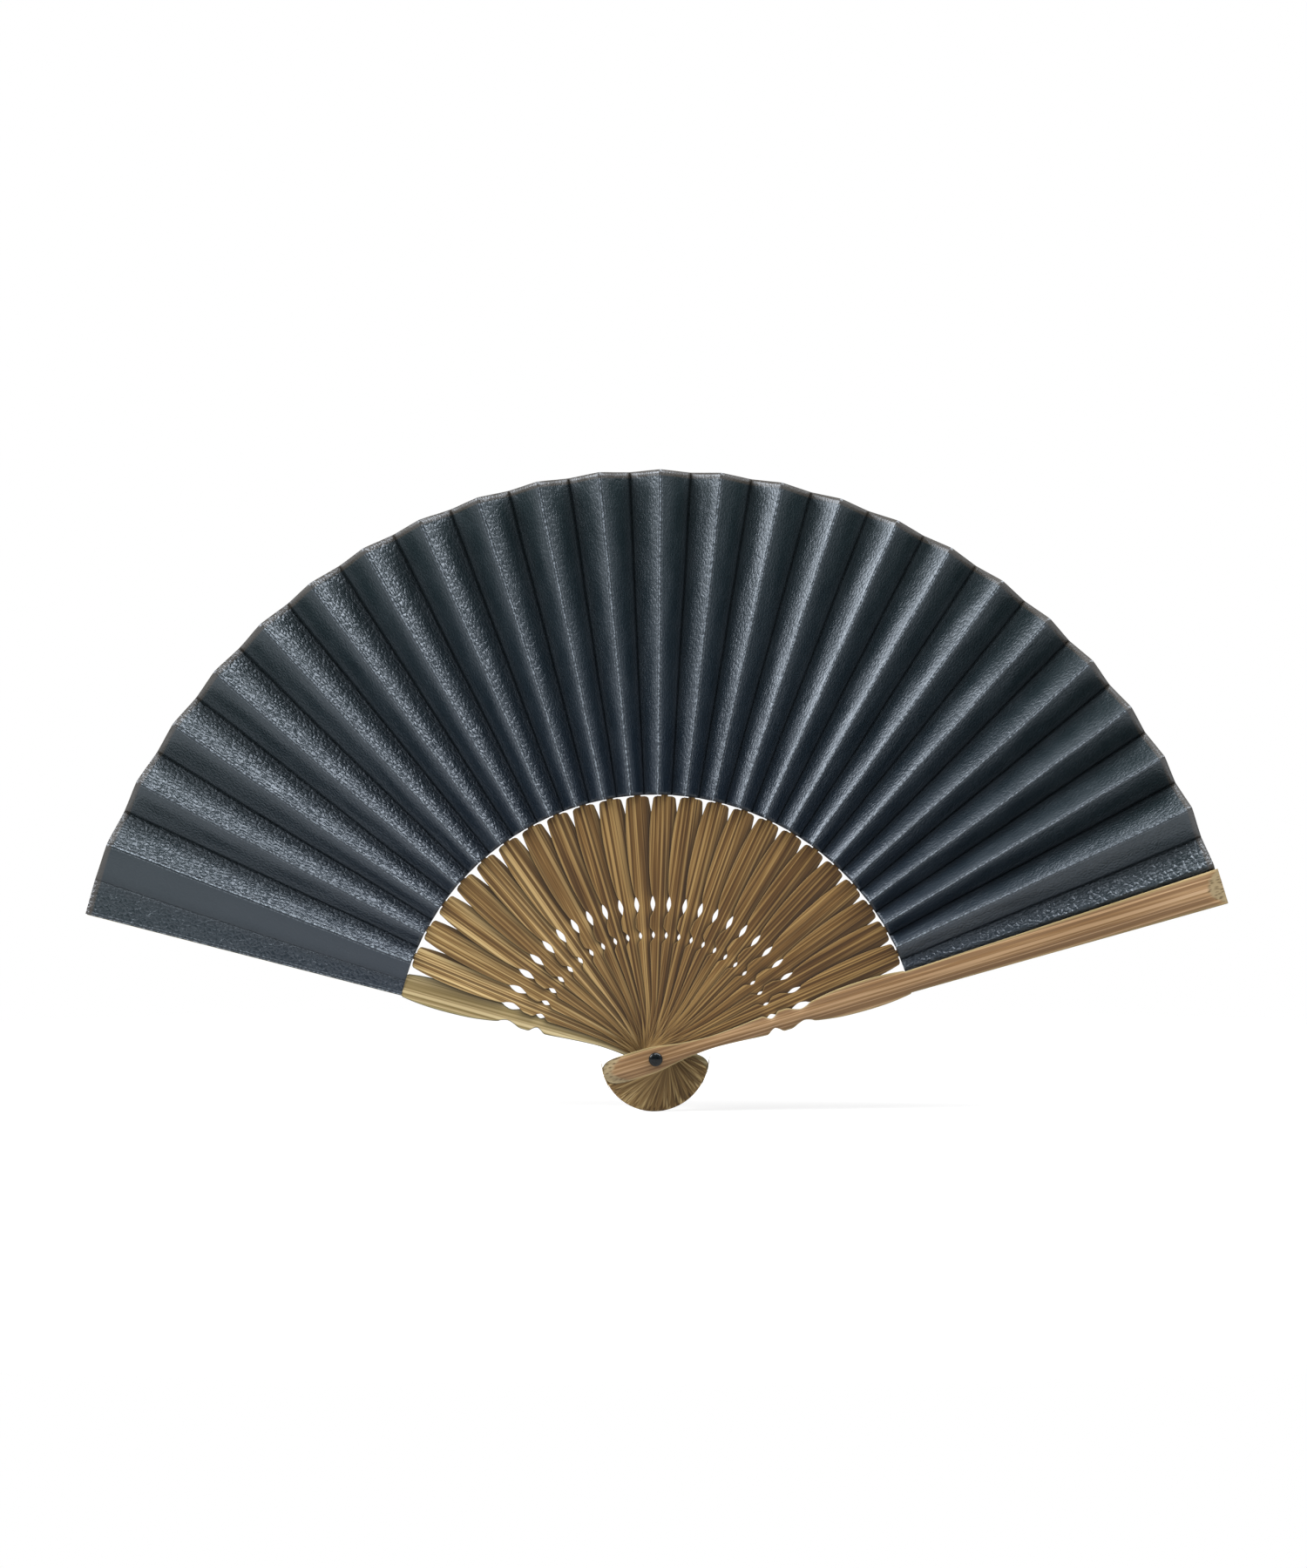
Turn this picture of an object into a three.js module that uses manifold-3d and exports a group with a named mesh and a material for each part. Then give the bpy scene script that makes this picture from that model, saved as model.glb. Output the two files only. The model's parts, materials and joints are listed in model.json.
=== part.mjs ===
// A bamboo folding fan, open: two guards, the ribs between them, a pleated leaf and the rivet.
// Millimetres. X runs to the right and Z up, and the side that shows looks along -Y.
// The origin is on the rivet's axis, in the middle of the stack of sticks.
// "Level" is a height in the stack: it is 0 on the rear guard's inner face and grows towards -Y.
import * as THREE from "three";
import { mergeVertices } from "three/addons/utils/BufferGeometryUtils.js";
import Module from "manifold-3d";

const { clamp, degToRad, lerp } = THREE.MathUtils;

// Opening, in degrees. The steps from stick to stick grow smaller from the rear guard to the front one.
// The sticks crowd towards the middle: those of the rear half stand past their even places, and those of
// the front half short of them, by the gather angle at most.
const ribCount = 23;
const meanStepAngle = 6.12;
const stepAngleSpread = 0.5;
const lastStepAngle = 6.55;
const gatherAngle = 0.47;
const leanAngle = 0.65;

// The handle, which every stick shares. "Half" is half a width, and "at" is a distance from the rivet.
const headLength = 17.6;
const headHalf = 4.35;
const waistAt = 18.4;
const waistHalf = 1.95;
const lowerBeadAt = 35.9;
const lowerBeadHalf = 3.05;
const smallNotchAt = 40;
const smallNotchHalf = 1.62;
const smallNotchLength = 5;
const beadAt = 44;
const beadHalf = 3.4;
const largeNotchAt = 50;
const largeNotchHalf = 1.9;
const largeNotchLength = 8.4;
const shoulderAt = 72.8;
const handleLength = 85.4;

// Ribs: a thin handle, and a narrow slat that carries the leaf
const ribShoulderHalf = 4.55;
const ribCollarHalf = 3.73;
const ribCorner = 1.1;
const ribThickness = 0.54;
const stickClearance = 0.08;
const slatHalf = 1.1;
const slatThickness = 0.24;
const slatShort = 5;

// Guards: thick strips, thinner at the head and bevelled at both ends
const guardShoulderHalf = 4.85;
const guardCollarHalf = 3.9;
const guardLength = 192.6;
const guardThickness = 2.4;
const guardHeadThickness = 1.6;
const guardEdge = 0.9;
const guardBevel = 7;
const bladeRootHalf = 3.55;
const bladeTipHalf = 5.9;

// Leaf: it starts just above the handles and ends just short of the guards' tips
const leafAboveHandle = 0.5;
const leafShort = 0.8;
const pleatAngle = 4;
const leafLeanAngle = 0.45;
const leafThickness = 0.14;
const leafClearance = 0.02;
const creaseGap = 0.3;
const slatClearance = 0.3;
const endInset = 0.2;

// Rivet
const pinRadius = 1;
const boreClearance = 0.08;
const capRadius = 2.25;
const capHeight = 0.75;
const capClearance = 0.1;
const roundSides = 24;

const leafInner = handleLength + leafAboveHandle;
const leafRim = guardLength - leafShort;

// Levels in the stack
const pitch = ribThickness + stickClearance;
const frontLevel = stickClearance + ribCount * pitch;
const middleLevel = frontLevel / 2;
const ribLevel = (k) => stickClearance + (k - 1) * pitch;
const slatTop = (k) => (k === 0 ? 0 : ribLevel(k) + ribThickness);
const layer = leafThickness + leafClearance;
const foldedLevel = (k) => slatTop(k) + leafClearance + layer + leafThickness / 2;
const guardRecess = leafClearance + 2 * layer + leafClearance;

// Turns from upright, in degrees, clockwise as seen from the front
const spreadShare = (k) => 1 - (2 * k) / (ribCount - 1);
const evenStep = (k) => (k < ribCount ? meanStepAngle + stepAngleSpread * spreadShare(k) : lastStepAngle);
const evenTurn = (k) => (k === 0 ? 0 : evenTurn(k - 1) + evenStep(k - 1));
const gatherPower = 0.84;
const gather = (k) => gatherAngle * Math.sin(2 * Math.PI * (k / (ribCount + 1)) ** gatherPower);
const closeTurn = (k) => evenTurn(k) + gather(k);
const stepAfter = (k) => closeTurn(k + 1) - closeTurn(k);
const openAngle = closeTurn(ribCount + 1);
const stickTurn = (k) => closeTurn(k) - openAngle / 2 - leanAngle;

const wood = (color) => new THREE.MeshStandardMaterial({ color, roughness: 0.6, metalness: 0 });
const cloth = (color) => new THREE.MeshStandardMaterial({ color, roughness: 0.7, metalness: 0 });
const enamel = (color) => new THREE.MeshStandardMaterial({ color, roughness: 0.25, metalness: 0.3 });
const materials = {
  frontGuard: wood(0x9b7852),
  rearGuard: wood(0x8a7f50),
  rib: wood(0x8b6b43),
  leaf: cloth(0x2c3238),
  rivet: enamel(0x101214),
};

const wasm = await Module();
wasm.setup();

function toManifold(geometry) {
  const bare = geometry.clone().deleteAttribute("normal").deleteAttribute("uv");
  const merged = mergeVertices(bare);
  return new wasm.Manifold(
    new wasm.Mesh({
      numProp: 3,
      vertProperties: merged.attributes.position.array,
      triVerts: new Uint32Array(merged.index.array),
    }),
  );
}

function fromManifold(solid) {
  const mesh = solid.getMesh();
  const geometry = new THREE.BufferGeometry();
  geometry.setAttribute("position", new THREE.BufferAttribute(mesh.vertProperties, mesh.numProp));
  geometry.setIndex(new THREE.BufferAttribute(mesh.triVerts, 1));
  const flat = geometry.toNonIndexed();
  flat.computeVertexNormals();
  return flat;
}

// One side of the handle, from the head's end to the collar, as points of half width and distance
function handleCurve(shoulderHalf, collarHalf, collarAt) {
  const headShares = [[0, 1], [0.5, 0.985], [0.82, 0.9], [0.96, 0.75], [1, 0.45], [0.95, 0]];
  const head = headShares.map(([across, along]) => [headHalf * across, -headLength * along]);
  const slopeShare = 0.35;
  const lipShare = 0.97;
  const cheekShares = { across: 0.75, along: 0.55 };
  const neckShares = { across: 0.35, along: 0.6 };
  // A notch's lips lie half its length away from its middle, and its walls curve in between
  const notch = (at, length, half, lowHalf, highHalf) => {
    const reach = length / 2;
    return [
      [lowHalf * lipShare, at - reach],
      [lerp(half, lowHalf, slopeShare), at - reach / 2],
      [half, at],
      [lerp(half, highHalf, slopeShare), at + reach / 2],
      [highHalf * lipShare, at + reach],
    ];
  };
  return [
    ...head,
    [lerp(headHalf, waistHalf, 2 * slopeShare), waistAt / 2],
    [waistHalf, waistAt],
    [lerp(waistHalf, lowerBeadHalf, slopeShare), (waistAt + lowerBeadAt) / 2],
    [lowerBeadHalf, lowerBeadAt],
    ...notch(smallNotchAt, smallNotchLength, smallNotchHalf, lowerBeadHalf, beadHalf),
    [beadHalf, beadAt],
    ...notch(largeNotchAt, largeNotchLength, largeNotchHalf, beadHalf, beadHalf),
    [lerp(beadHalf, shoulderHalf, cheekShares.across), lerp(largeNotchAt, shoulderAt, cheekShares.along)],
    [shoulderHalf, shoulderAt],
    [lerp(shoulderHalf, collarHalf, neckShares.across), lerp(shoulderAt, collarAt, neckShares.along)],
    [collarHalf, collarAt],
  ].map(([half, along]) => new THREE.Vector2(half, along));
}

// A stick's outline, seen from the front and pointing up, from the points up its right side
function stickShape(side) {
  const otherSide = side.slice(1).reverse().map((p) => new THREE.Vector2(-p.x, p.y));
  return new THREE.Shape([...side, ...otherSide]);
}

function curved(control) {
  const samplesPerPoint = 2;
  return new THREE.SplineCurve(control).getPoints(samplesPerPoint * (control.length - 1));
}

// A guard's handle runs on into a straight blade
function guardShape() {
  return stickShape([
    ...curved(handleCurve(guardShoulderHalf, guardCollarHalf, handleLength)),
    new THREE.Vector2(bladeRootHalf, handleLength),
    new THREE.Vector2(bladeTipHalf, guardLength),
  ]);
}

// A rib's handle ends in round corners, and a narrow slat goes on under the leaf
function ribShape() {
  const cornerAt = handleLength - ribCorner;
  const cornerSides = 3;
  const corner = [];
  for (let i = 1; i <= cornerSides; i++) {
    const turn = (i / cornerSides) * (Math.PI / 2);
    const across = ribCollarHalf - ribCorner * (1 - Math.cos(turn));
    corner.push(new THREE.Vector2(across, cornerAt + ribCorner * Math.sin(turn)));
  }
  return stickShape([
    ...curved(handleCurve(ribShoulderHalf, ribCollarHalf, cornerAt)),
    ...corner,
    new THREE.Vector2(slatHalf, handleLength),
    new THREE.Vector2(slatHalf, leafRim - slatShort),
  ]);
}

// The outline is extruded along the levels, and the elevation, points of level and distance, across it.
// What both hold is the stick, less its bore.
function stickGeometry(outline, elevation) {
  const levels = elevation.map(([level]) => level);
  const low = Math.min(...levels) - guardThickness;
  const high = Math.max(...levels) + guardThickness;
  const plan = new THREE.ExtrudeGeometry(outline, { depth: high - low, bevelEnabled: false });
  plan.rotateX(Math.PI / 2).translate(0, middleLevel - low, 0);
  const edge = new THREE.Shape(elevation.map(([level, along]) => new THREE.Vector2(level, along)));
  const span = 2 * (headHalf + guardShoulderHalf + bladeTipHalf);
  const profile = new THREE.ExtrudeGeometry(edge, { depth: span, bevelEnabled: false });
  const toStick = new THREE.Matrix4().makeBasis(
    new THREE.Vector3(0, -1, 0),
    new THREE.Vector3(0, 0, 1),
    new THREE.Vector3(-1, 0, 0),
  );
  profile.applyMatrix4(toStick).translate(span / 2, middleLevel, 0);
  const boreRadius = (pinRadius + boreClearance) / Math.cos(Math.PI / roundSides);
  const bore = new THREE.CylinderGeometry(boreRadius, boreRadius, 2 * (high - low) + frontLevel, roundSides);
  return fromManifold(toManifold(plan).intersect(toManifold(profile)).subtract(toManifold(bore)));
}

function ribElevation(k) {
  const under = ribLevel(k);
  const top = slatTop(k);
  const slatTip = leafRim - slatShort;
  return [
    [under, -headLength],
    [top, -headLength],
    [top, slatTip],
    [top - slatThickness, slatTip],
    [top - slatThickness, handleLength],
    [under, handleLength],
  ];
}

// A guard's inner face is at "from", and its thickness grows outwards, which is -1 at the rear.
// The recess is the room that the folded leaf's last layers take under the blade.
function guardElevation(from, outwards, recess) {
  const at = (thickness) => from + outwards * thickness;
  return [
    [at(0), -headLength],
    [at(guardEdge), -headLength],
    [at(guardHeadThickness), guardBevel - headLength],
    [at(guardHeadThickness), waistAt],
    [at(guardThickness), handleLength],
    [at(guardThickness), guardLength - guardBevel],
    [at(recess + guardEdge), guardLength],
    [at(recess), guardLength],
    [at(recess), handleLength],
    [at(0), handleLength],
  ];
}

// Axis of a hinge in the part's own frame: a point on it, its direction and the turn that closes the fan
const rivetHinge = (k) => ({ at: [0, 0, 0], axis: [0, -1, 0], closes: closeTurn(k) });

function named(name, geometry, material, turn = 0) {
  const mesh = new THREE.Mesh(geometry, material);
  mesh.name = name;
  mesh.rotation.y = degToRad(turn);
  return mesh;
}

const number = (k) => String(k).padStart(2, "0");

function makeSticks() {
  const sticks = new THREE.Group();
  const rear = stickGeometry(guardShape(), guardElevation(0, -1, 0));
  sticks.add(named("rear_guard", rear, materials.rearGuard, stickTurn(0)));
  for (let k = 1; k <= ribCount; k++) {
    const geometry = stickGeometry(ribShape(), ribElevation(k));
    const rib = named("rib_" + number(k), geometry, materials.rib, stickTurn(k));
    rib.userData.hinge = rivetHinge(k);
    sticks.add(rib);
  }
  const front = stickGeometry(guardShape(), guardElevation(frontLevel, 1, guardRecess));
  const guard = named("front_guard", front, materials.frontGuard, stickTurn(ribCount + 1));
  guard.userData.hinge = rivetHinge(ribCount + 1);
  sticks.add(guard);
  return sticks;
}

// Half the angle that a panel on rib k takes up, and how far its edges then stand off the rib's level,
// both in radians, so that times a distance they are lengths
const panelSpread = (k) => degToRad((stepAfter(k - 1) + stepAfter(k)) / 8);
const panelRise = (k) => Math.sqrt(degToRad(pleatAngle / 2) ** 2 - panelSpread(k) ** 2);
const panelLevel = (k) =>
  slatTop(k) + slatHalf * (panelRise(k) / panelSpread(k)) + leafThickness / 2 + slatClearance;

// On the first ribs the panels sit a little clockwise of the slats. The lean is whole up to one rib and
// gone by another.
const leanRibs = { whole: 5, gone: 10 };
const panelLean = (k) => {
  const share = clamp((leanRibs.gone - k) / (leanRibs.gone - leanRibs.whole), 0, 1);
  return degToRad(leafLeanAngle) * share;
};

// A place on the panel of rib k, at an angle from the rib and a distance r from the rivet
function onPanel(k, angle, r) {
  const level = panelLevel(k) - r * panelRise(k) * (angle / panelSpread(k));
  return [r * Math.sin(angle), level, r * Math.cos(angle)];
}

// Where the leaf's first and last creases lie on the guards: a share of the blade's half width
const guardCreaseShares = { inner: 0.42, rim: 1 };
const guardHalf = (r) => lerp(bladeRootHalf, bladeTipHalf, (r - handleLength) / (guardLength - handleLength));
const guardCrease = (r) => {
  const along = (r - leafInner) / (leafRim - leafInner);
  return guardHalf(r) * lerp(guardCreaseShares.inner, guardCreaseShares.rim, along);
};

// A place on the leaf as [across, level, along] at a distance r from the rivet, in the frame of the
// stick that carries it. Valley k is where the panel on stick k ends, and ridge k is where the panel
// on stick k + 1 starts.
function valley(k, r) {
  return k === 0 ? [guardCrease(r), foldedLevel(0), r] : onPanel(k, panelLean(k) + panelSpread(k), r);
}

function ridge(k, r) {
  if (k === ribCount) return [-guardCrease(r), foldedLevel(k), r];
  return onPanel(k + 1, panelLean(k + 1) - panelSpread(k + 1), r);
}

// The same place on stick k + 1, in the frame of stick k
function fromNext(k, [across, level, along]) {
  const turn = degToRad(stepAfter(k));
  return [
    across * Math.cos(turn) + along * Math.sin(turn),
    level,
    along * Math.cos(turn) - across * Math.sin(turn),
  ];
}

// The line that pleat k turns about while the fan closes. Its free panel starts at valley k and ends
// at ridge k, and lies folded back over rib k in the end.
function foldHinge(k) {
  const pole = (r) => {
    const [x, level] = valley(k, r);
    const [ridgeX, ridgeLevel] = fromNext(k, ridge(k, r));
    const turn = Math.PI - Math.atan2(ridgeLevel - level, ridgeX - x);
    const foldedX = k === 0 ? x : r * Math.sin(degToRad(pleatAngle / 2));
    const reach = 1 / (2 * Math.tan(turn / 2));
    return {
      turn,
      across: (x + foldedX) / 2 - (foldedLevel(k) - level) * reach,
      level: (level + foldedLevel(k)) / 2 + (foldedX - x) * reach,
    };
  };
  const rivetAxis = new THREE.Vector3(0, 1, 0);
  const turned = degToRad(stickTurn(k));
  const place = ({ across, level }, r) =>
    new THREE.Vector3(across, middleLevel - level, r).applyAxisAngle(rivetAxis, turned);
  const rim = pole(leafRim);
  const at = place(pole(leafInner), leafInner);
  const axis = at.clone().sub(place(rim, leafRim)).normalize();
  return { at: at.toArray(), axis: axis.toArray(), closes: THREE.MathUtils.radToDeg(rim.turn) };
}

// A thin sheet through creases, each a place at the leaf's inner edge and one at its rim
function sheetGeometry(creases) {
  const corner = (i, end, side) => {
    const [across, level, along] = creases[i][end];
    return [across, middleLevel - level - (side * leafThickness) / 2, along];
  };
  const positions = [];
  const quad = (a, b, c, d) => positions.push(...a, ...b, ...c, ...a, ...c, ...d);
  const ring = (i) => [
    corner(i, "inner", -1),
    corner(i, "inner", 1),
    corner(i, "rim", 1),
    corner(i, "rim", -1),
  ];
  // A panel is twisted a little, so both its faces are split along the same diagonal, which keeps the
  // sheet equally thick all over.
  for (let i = 0; i + 1 < creases.length; i++) {
    const [here, next] = [ring(i), ring(i + 1)];
    const last = here.length - 1;
    for (let j = 0; j < last; j++) quad(here[j], next[j], next[j + 1], here[j + 1]);
    quad(next[last], next[0], here[0], here[last]);
  }
  quad(...ring(0));
  quad(...ring(creases.length - 1).reverse());
  const geometry = new THREE.BufferGeometry();
  geometry.setAttribute("position", new THREE.Float32BufferAttribute(positions, 3));
  geometry.computeVertexNormals();
  return geometry;
}

const crease = (place) => ({ inner: place(leafInner), rim: place(leafRim) });

// The place a small way from one crease towards the next, so that neighbouring pleats don't touch
function shyOf(from, towards) {
  return (r) => {
    const [start, end] = [new THREE.Vector3(...from(r)), new THREE.Vector3(...towards(r))];
    return start.lerp(end, creaseGap / 2 / start.distanceTo(end)).toArray();
  };
}

// Pleat k: the free panel from stick k's panel up to the next ridge, and the panel on stick k + 1
function pleatGeometry(k) {
  const start = (r) => valley(k, r);
  const top = (r) => fromNext(k, ridge(k, r));
  const creases = [crease(shyOf(start, top))];
  if (k < ribCount) {
    const end = (r) => fromNext(k, valley(k + 1, r));
    creases.push(crease(top), crease(shyOf(end, top)));
  } else {
    creases.push(crease(shyOf(top, start)));
  }
  return sheetGeometry(creases);
}

// The strips at the leaf's ends, glued flat on the guards' inner faces
function endStrip(side, level) {
  const edge = (r) => [-side * (guardHalf(r) - endInset), level, r];
  const fold = (r) => [side * (guardCrease(r) - creaseGap), level, r];
  return sheetGeometry(side > 0 ? [crease(edge), crease(fold)] : [crease(fold), crease(edge)]);
}

function makeLeaf() {
  const leaf = new THREE.Group();
  const rearLevel = leafClearance + leafThickness / 2;
  leaf.add(named("leaf_end_rear", endStrip(1, rearLevel), materials.leaf, stickTurn(0)));
  for (let k = 0; k <= ribCount; k++) {
    const pleat = named("pleat_" + number(k), pleatGeometry(k), materials.leaf, stickTurn(k));
    pleat.userData.hinge = foldHinge(k);
    leaf.add(pleat);
  }
  const underGuard = frontLevel + guardRecess - leafClearance - leafThickness / 2;
  leaf.add(named("leaf_end_front", endStrip(-1, underGuard), materials.leaf, stickTurn(ribCount + 1)));
  return leaf;
}

// The rivet: a pin through every stick, and a domed cap on each end
function makeRivet() {
  const rivet = new THREE.Group();
  const reach = frontLevel / 2 + guardHeadThickness + capClearance;
  const pin = new THREE.CylinderGeometry(pinRadius, pinRadius, 2 * reach, roundSides);
  rivet.add(named("rivet_pin", pin, materials.rivet));
  const domeSteps = 6;
  const dome = [new THREE.Vector2(0, 0)];
  for (let i = 0; i <= domeSteps; i++) {
    const rise = (i / domeSteps) * (Math.PI / 2);
    const across = i === domeSteps ? 0 : capRadius * Math.cos(rise);
    dome.push(new THREE.Vector2(across, capHeight * Math.sin(rise)));
  }
  const cap = new THREE.LatheGeometry(dome, roundSides);
  const rear = named("rivet_cap_rear", cap, materials.rivet);
  rear.position.y = reach;
  const front = named("rivet_cap_front", cap.clone(), materials.rivet);
  front.rotation.x = Math.PI;
  front.position.y = -reach;
  rivet.add(rear, front);
  return rivet;
}

const fan = new THREE.Group();
fan.add(makeSticks(), makeLeaf(), makeRivet());

export default fan;
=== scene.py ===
# %% [markdown]
# # A bamboo folding fan, standing open
#
# A pocket fan is a stack of thin bamboo sticks on one rivet: two thick guards outside, ribs between
# them, and a leaf of coated cloth that is glued to the sticks and folds between them. Everything in
# it turns about the rivet, so one function that places a point on a stick is enough to build it all.
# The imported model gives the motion, and this lesson dresses it with the real finish.

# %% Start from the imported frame
import json
import math

import bmesh
import bpy
from mathutils import Matrix, Vector, noise


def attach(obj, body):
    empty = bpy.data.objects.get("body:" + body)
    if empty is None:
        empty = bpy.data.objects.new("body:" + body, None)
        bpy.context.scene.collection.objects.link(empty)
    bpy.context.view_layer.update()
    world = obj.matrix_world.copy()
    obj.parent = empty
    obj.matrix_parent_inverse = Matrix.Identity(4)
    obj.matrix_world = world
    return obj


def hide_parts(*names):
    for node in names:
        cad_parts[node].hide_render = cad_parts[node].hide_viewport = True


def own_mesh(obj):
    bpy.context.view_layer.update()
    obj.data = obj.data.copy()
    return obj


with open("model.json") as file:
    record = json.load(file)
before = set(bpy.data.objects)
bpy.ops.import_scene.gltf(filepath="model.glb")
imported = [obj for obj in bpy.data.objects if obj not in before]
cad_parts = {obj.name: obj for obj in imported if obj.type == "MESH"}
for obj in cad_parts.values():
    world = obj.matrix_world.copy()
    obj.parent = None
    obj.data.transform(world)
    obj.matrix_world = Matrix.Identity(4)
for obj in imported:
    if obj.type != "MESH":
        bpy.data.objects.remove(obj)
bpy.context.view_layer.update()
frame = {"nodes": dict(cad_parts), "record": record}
record = frame["record"]

# %% [markdown]
# ## Where each stick points
#
# The record holds the joint of the front guard and the share of it that each rib follows. Those
# shares say how far each stick turns to close, so they also say where it stands when it is open.

# %% Angles of the sticks
MM = 0.001
rib_count = sum(name.startswith("rib_") for name in frame["nodes"])
front_number = rib_count + 1
behaviour = record["behaviour"]
ranges = {joint["name"]: joint["range_deg"] for joint in behaviour["joints"]}
ratios = {follower["joint"]: follower["ratio"] for follower in behaviour["couplings"]}
open_angle = math.radians(ranges["front_guard_turn"][1])
lean_angle = math.radians(0.65)


def rib_name(k):
    return f"rib_{k:02d}"


def close_turn(k):
    """How far stick k turns to close. 0 is the rear guard, and the last number the front one."""
    if k == 0:
        return 0.0
    if k == front_number:
        return open_angle
    return open_angle * ratios[rib_name(k) + "_turn"]


def stick_turn(k):
    """Angle of stick k from upright, clockwise as the viewer sees it."""
    return close_turn(k) - open_angle / 2 - lean_angle


def step_after(k):
    return close_turn(k + 1) - close_turn(k)


ends = [round(math.degrees(stick_turn(k)), 2) for k in (0, front_number)]
print("sticks from", ends[0], "to", ends[1], "degrees")

# %% [markdown]
# ## Real sizes
#
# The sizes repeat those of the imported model. A level is a height in the stack of sticks, from the
# rear guard's inner face towards the viewer.

# %% Sizes of the handle, the blades and the leaf
head_length = 17.6 * MM
head_half = 4.35 * MM
waist_at = 18.4 * MM
waist_half = 1.95 * MM
lower_bead_at = 35.9 * MM
lower_bead_half = 3.05 * MM
small_notch_at = 40 * MM
small_notch_half = 1.62 * MM
small_notch_length = 5 * MM
bead_at = 44 * MM
bead_half = 3.4 * MM
large_notch_at = 50 * MM
large_notch_half = 1.9 * MM
large_notch_length = 8.4 * MM
shoulder_at = 72.8 * MM
handle_length = 85.4 * MM

rib_shoulder_half = 4.55 * MM
rib_collar_half = 3.73 * MM
rib_corner = 1.1 * MM
rib_thickness = 0.54 * MM
stick_clearance = 0.08 * MM
slat_half = 1.1 * MM
slat_thickness = 0.24 * MM
slat_short = 5 * MM

guard_shoulder_half = 4.85 * MM
guard_collar_half = 3.9 * MM
guard_length = 192.6 * MM
guard_thickness = 2.4 * MM
guard_head_thickness = 1.6 * MM
guard_edge = 0.9 * MM
guard_bevel = 7 * MM
blade_root_half = 3.55 * MM
blade_tip_half = 5.9 * MM

leaf_above_handle = 0.5 * MM
leaf_short = 0.8 * MM
pleat_angle = math.radians(4)
leaf_thickness = 0.14 * MM
leaf_clearance = 0.02 * MM
slat_clearance = 0.3 * MM
end_inset = 0.2 * MM

pin_radius = 1 * MM
bore_clearance = 0.08 * MM
cap_radius = 2.25 * MM
cap_height = 1.2 * MM
cap_clearance = 0.1 * MM

leaf_inner = handle_length + leaf_above_handle
leaf_rim = guard_length - leaf_short
pitch = rib_thickness + stick_clearance
front_level = stick_clearance + rib_count * pitch
middle_level = front_level / 2
layer = leaf_thickness + leaf_clearance
guard_recess = leaf_clearance + 2 * layer + leaf_clearance


def rib_level(k):
    return stick_clearance + (k - 1) * pitch


def slat_top(k):
    return 0.0 if k == 0 else rib_level(k) + rib_thickness


def clamped(share):
    return min(max(share, 0.0), 1.0)


def between(start, end, share):
    return start + (end - start) * share


def fan_point(k, across, level, along):
    """A place on stick k, in the fan's own frame."""
    turn = stick_turn(k)
    x = across * math.cos(turn) + along * math.sin(turn)
    z = along * math.cos(turn) - across * math.sin(turn)
    return Vector((x, middle_level - level, z))


# %% [markdown]
# ## Camera
#
# The photograph looks straight at the fan, from about 1.2 m in front of it and level with the middle
# of the leaf. Its focal length is 4246 pixels on a frame 1800 pixels high, so a lens of 85 mm on a
# sensor 36 mm high gives the same view with no shift.

# %% The photograph's camera
photo_height = 1800
focal_pixels = 4246
sensor_height = 36
camera = bpy.data.objects.new("camera", bpy.data.cameras.new("camera"))
camera.data.sensor_fit = "VERTICAL"
camera.data.sensor_height = sensor_height
camera.data.lens = sensor_height * focal_pixels / photo_height
camera.data.clip_start = 0.01
camera.location = (-0.0007, -1.2092, 0.0894)
camera.rotation_euler = (math.pi / 2, 0, 0)
bpy.context.collection.objects.link(camera)
bpy.context.scene.camera = camera

# %% [markdown]
# ## Light and floor
#
# The fan stands in a bright, white room. A long, narrow lamp above and in front gives the pleats a
# lit and a dark side, and each ridge its shadow. A smaller one at the left catches the pleats that
# the first one misses, and a small, weak one above the camera brightens what leans back. The room is
# darker on the camera's side, which shows in gloss. Close to the fan the floor keeps the shadow, and
# farther away it glows as white as the world behind it.

# %% Helpers for materials
def colour(code):
    """The linear colour of an sRGB hex value."""
    channels = [int(code[i:i + 2], 16) / 255 for i in (1, 3, 5)]
    return (*[c / 12.92 if c <= 0.04045 else ((c + 0.055) / 1.055) ** 2.4 for c in channels], 1.0)


def add(tree, kind, links=None, **settings):
    """Adds a node. Its settings are named, and links gives an input a value or another node's output."""
    node = tree.nodes.new(kind)
    for name, value in settings.items():
        setattr(node, name, value)
    for key, value in (links or {}).items():
        if isinstance(value, bpy.types.NodeSocket):
            tree.links.new(value, node.inputs[key])
        else:
            node.inputs[key].default_value = value
    return node


def new_material(name):
    """An empty node material, with its tree and its output node."""
    material = bpy.data.materials.new(name)
    material.use_nodes = True
    material.node_tree.nodes.clear()
    tree = material.node_tree
    return material, tree, add(tree, "ShaderNodeOutputMaterial")


def maths(tree, operation, first, second):
    return add(tree, "ShaderNodeMath", {0: first, 1: second}, operation=operation).outputs[0]


def seen_directly(tree):
    """1 for rays that show the background itself: from the camera, in gloss or through glass."""
    rays = add(tree, "ShaderNodeLightPath").outputs
    either = maths(tree, "MAXIMUM", rays["Is Camera Ray"], rays["Is Glossy Ray"])
    return maths(tree, "MAXIMUM", either, rays["Is Transmission Ray"])


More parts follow.
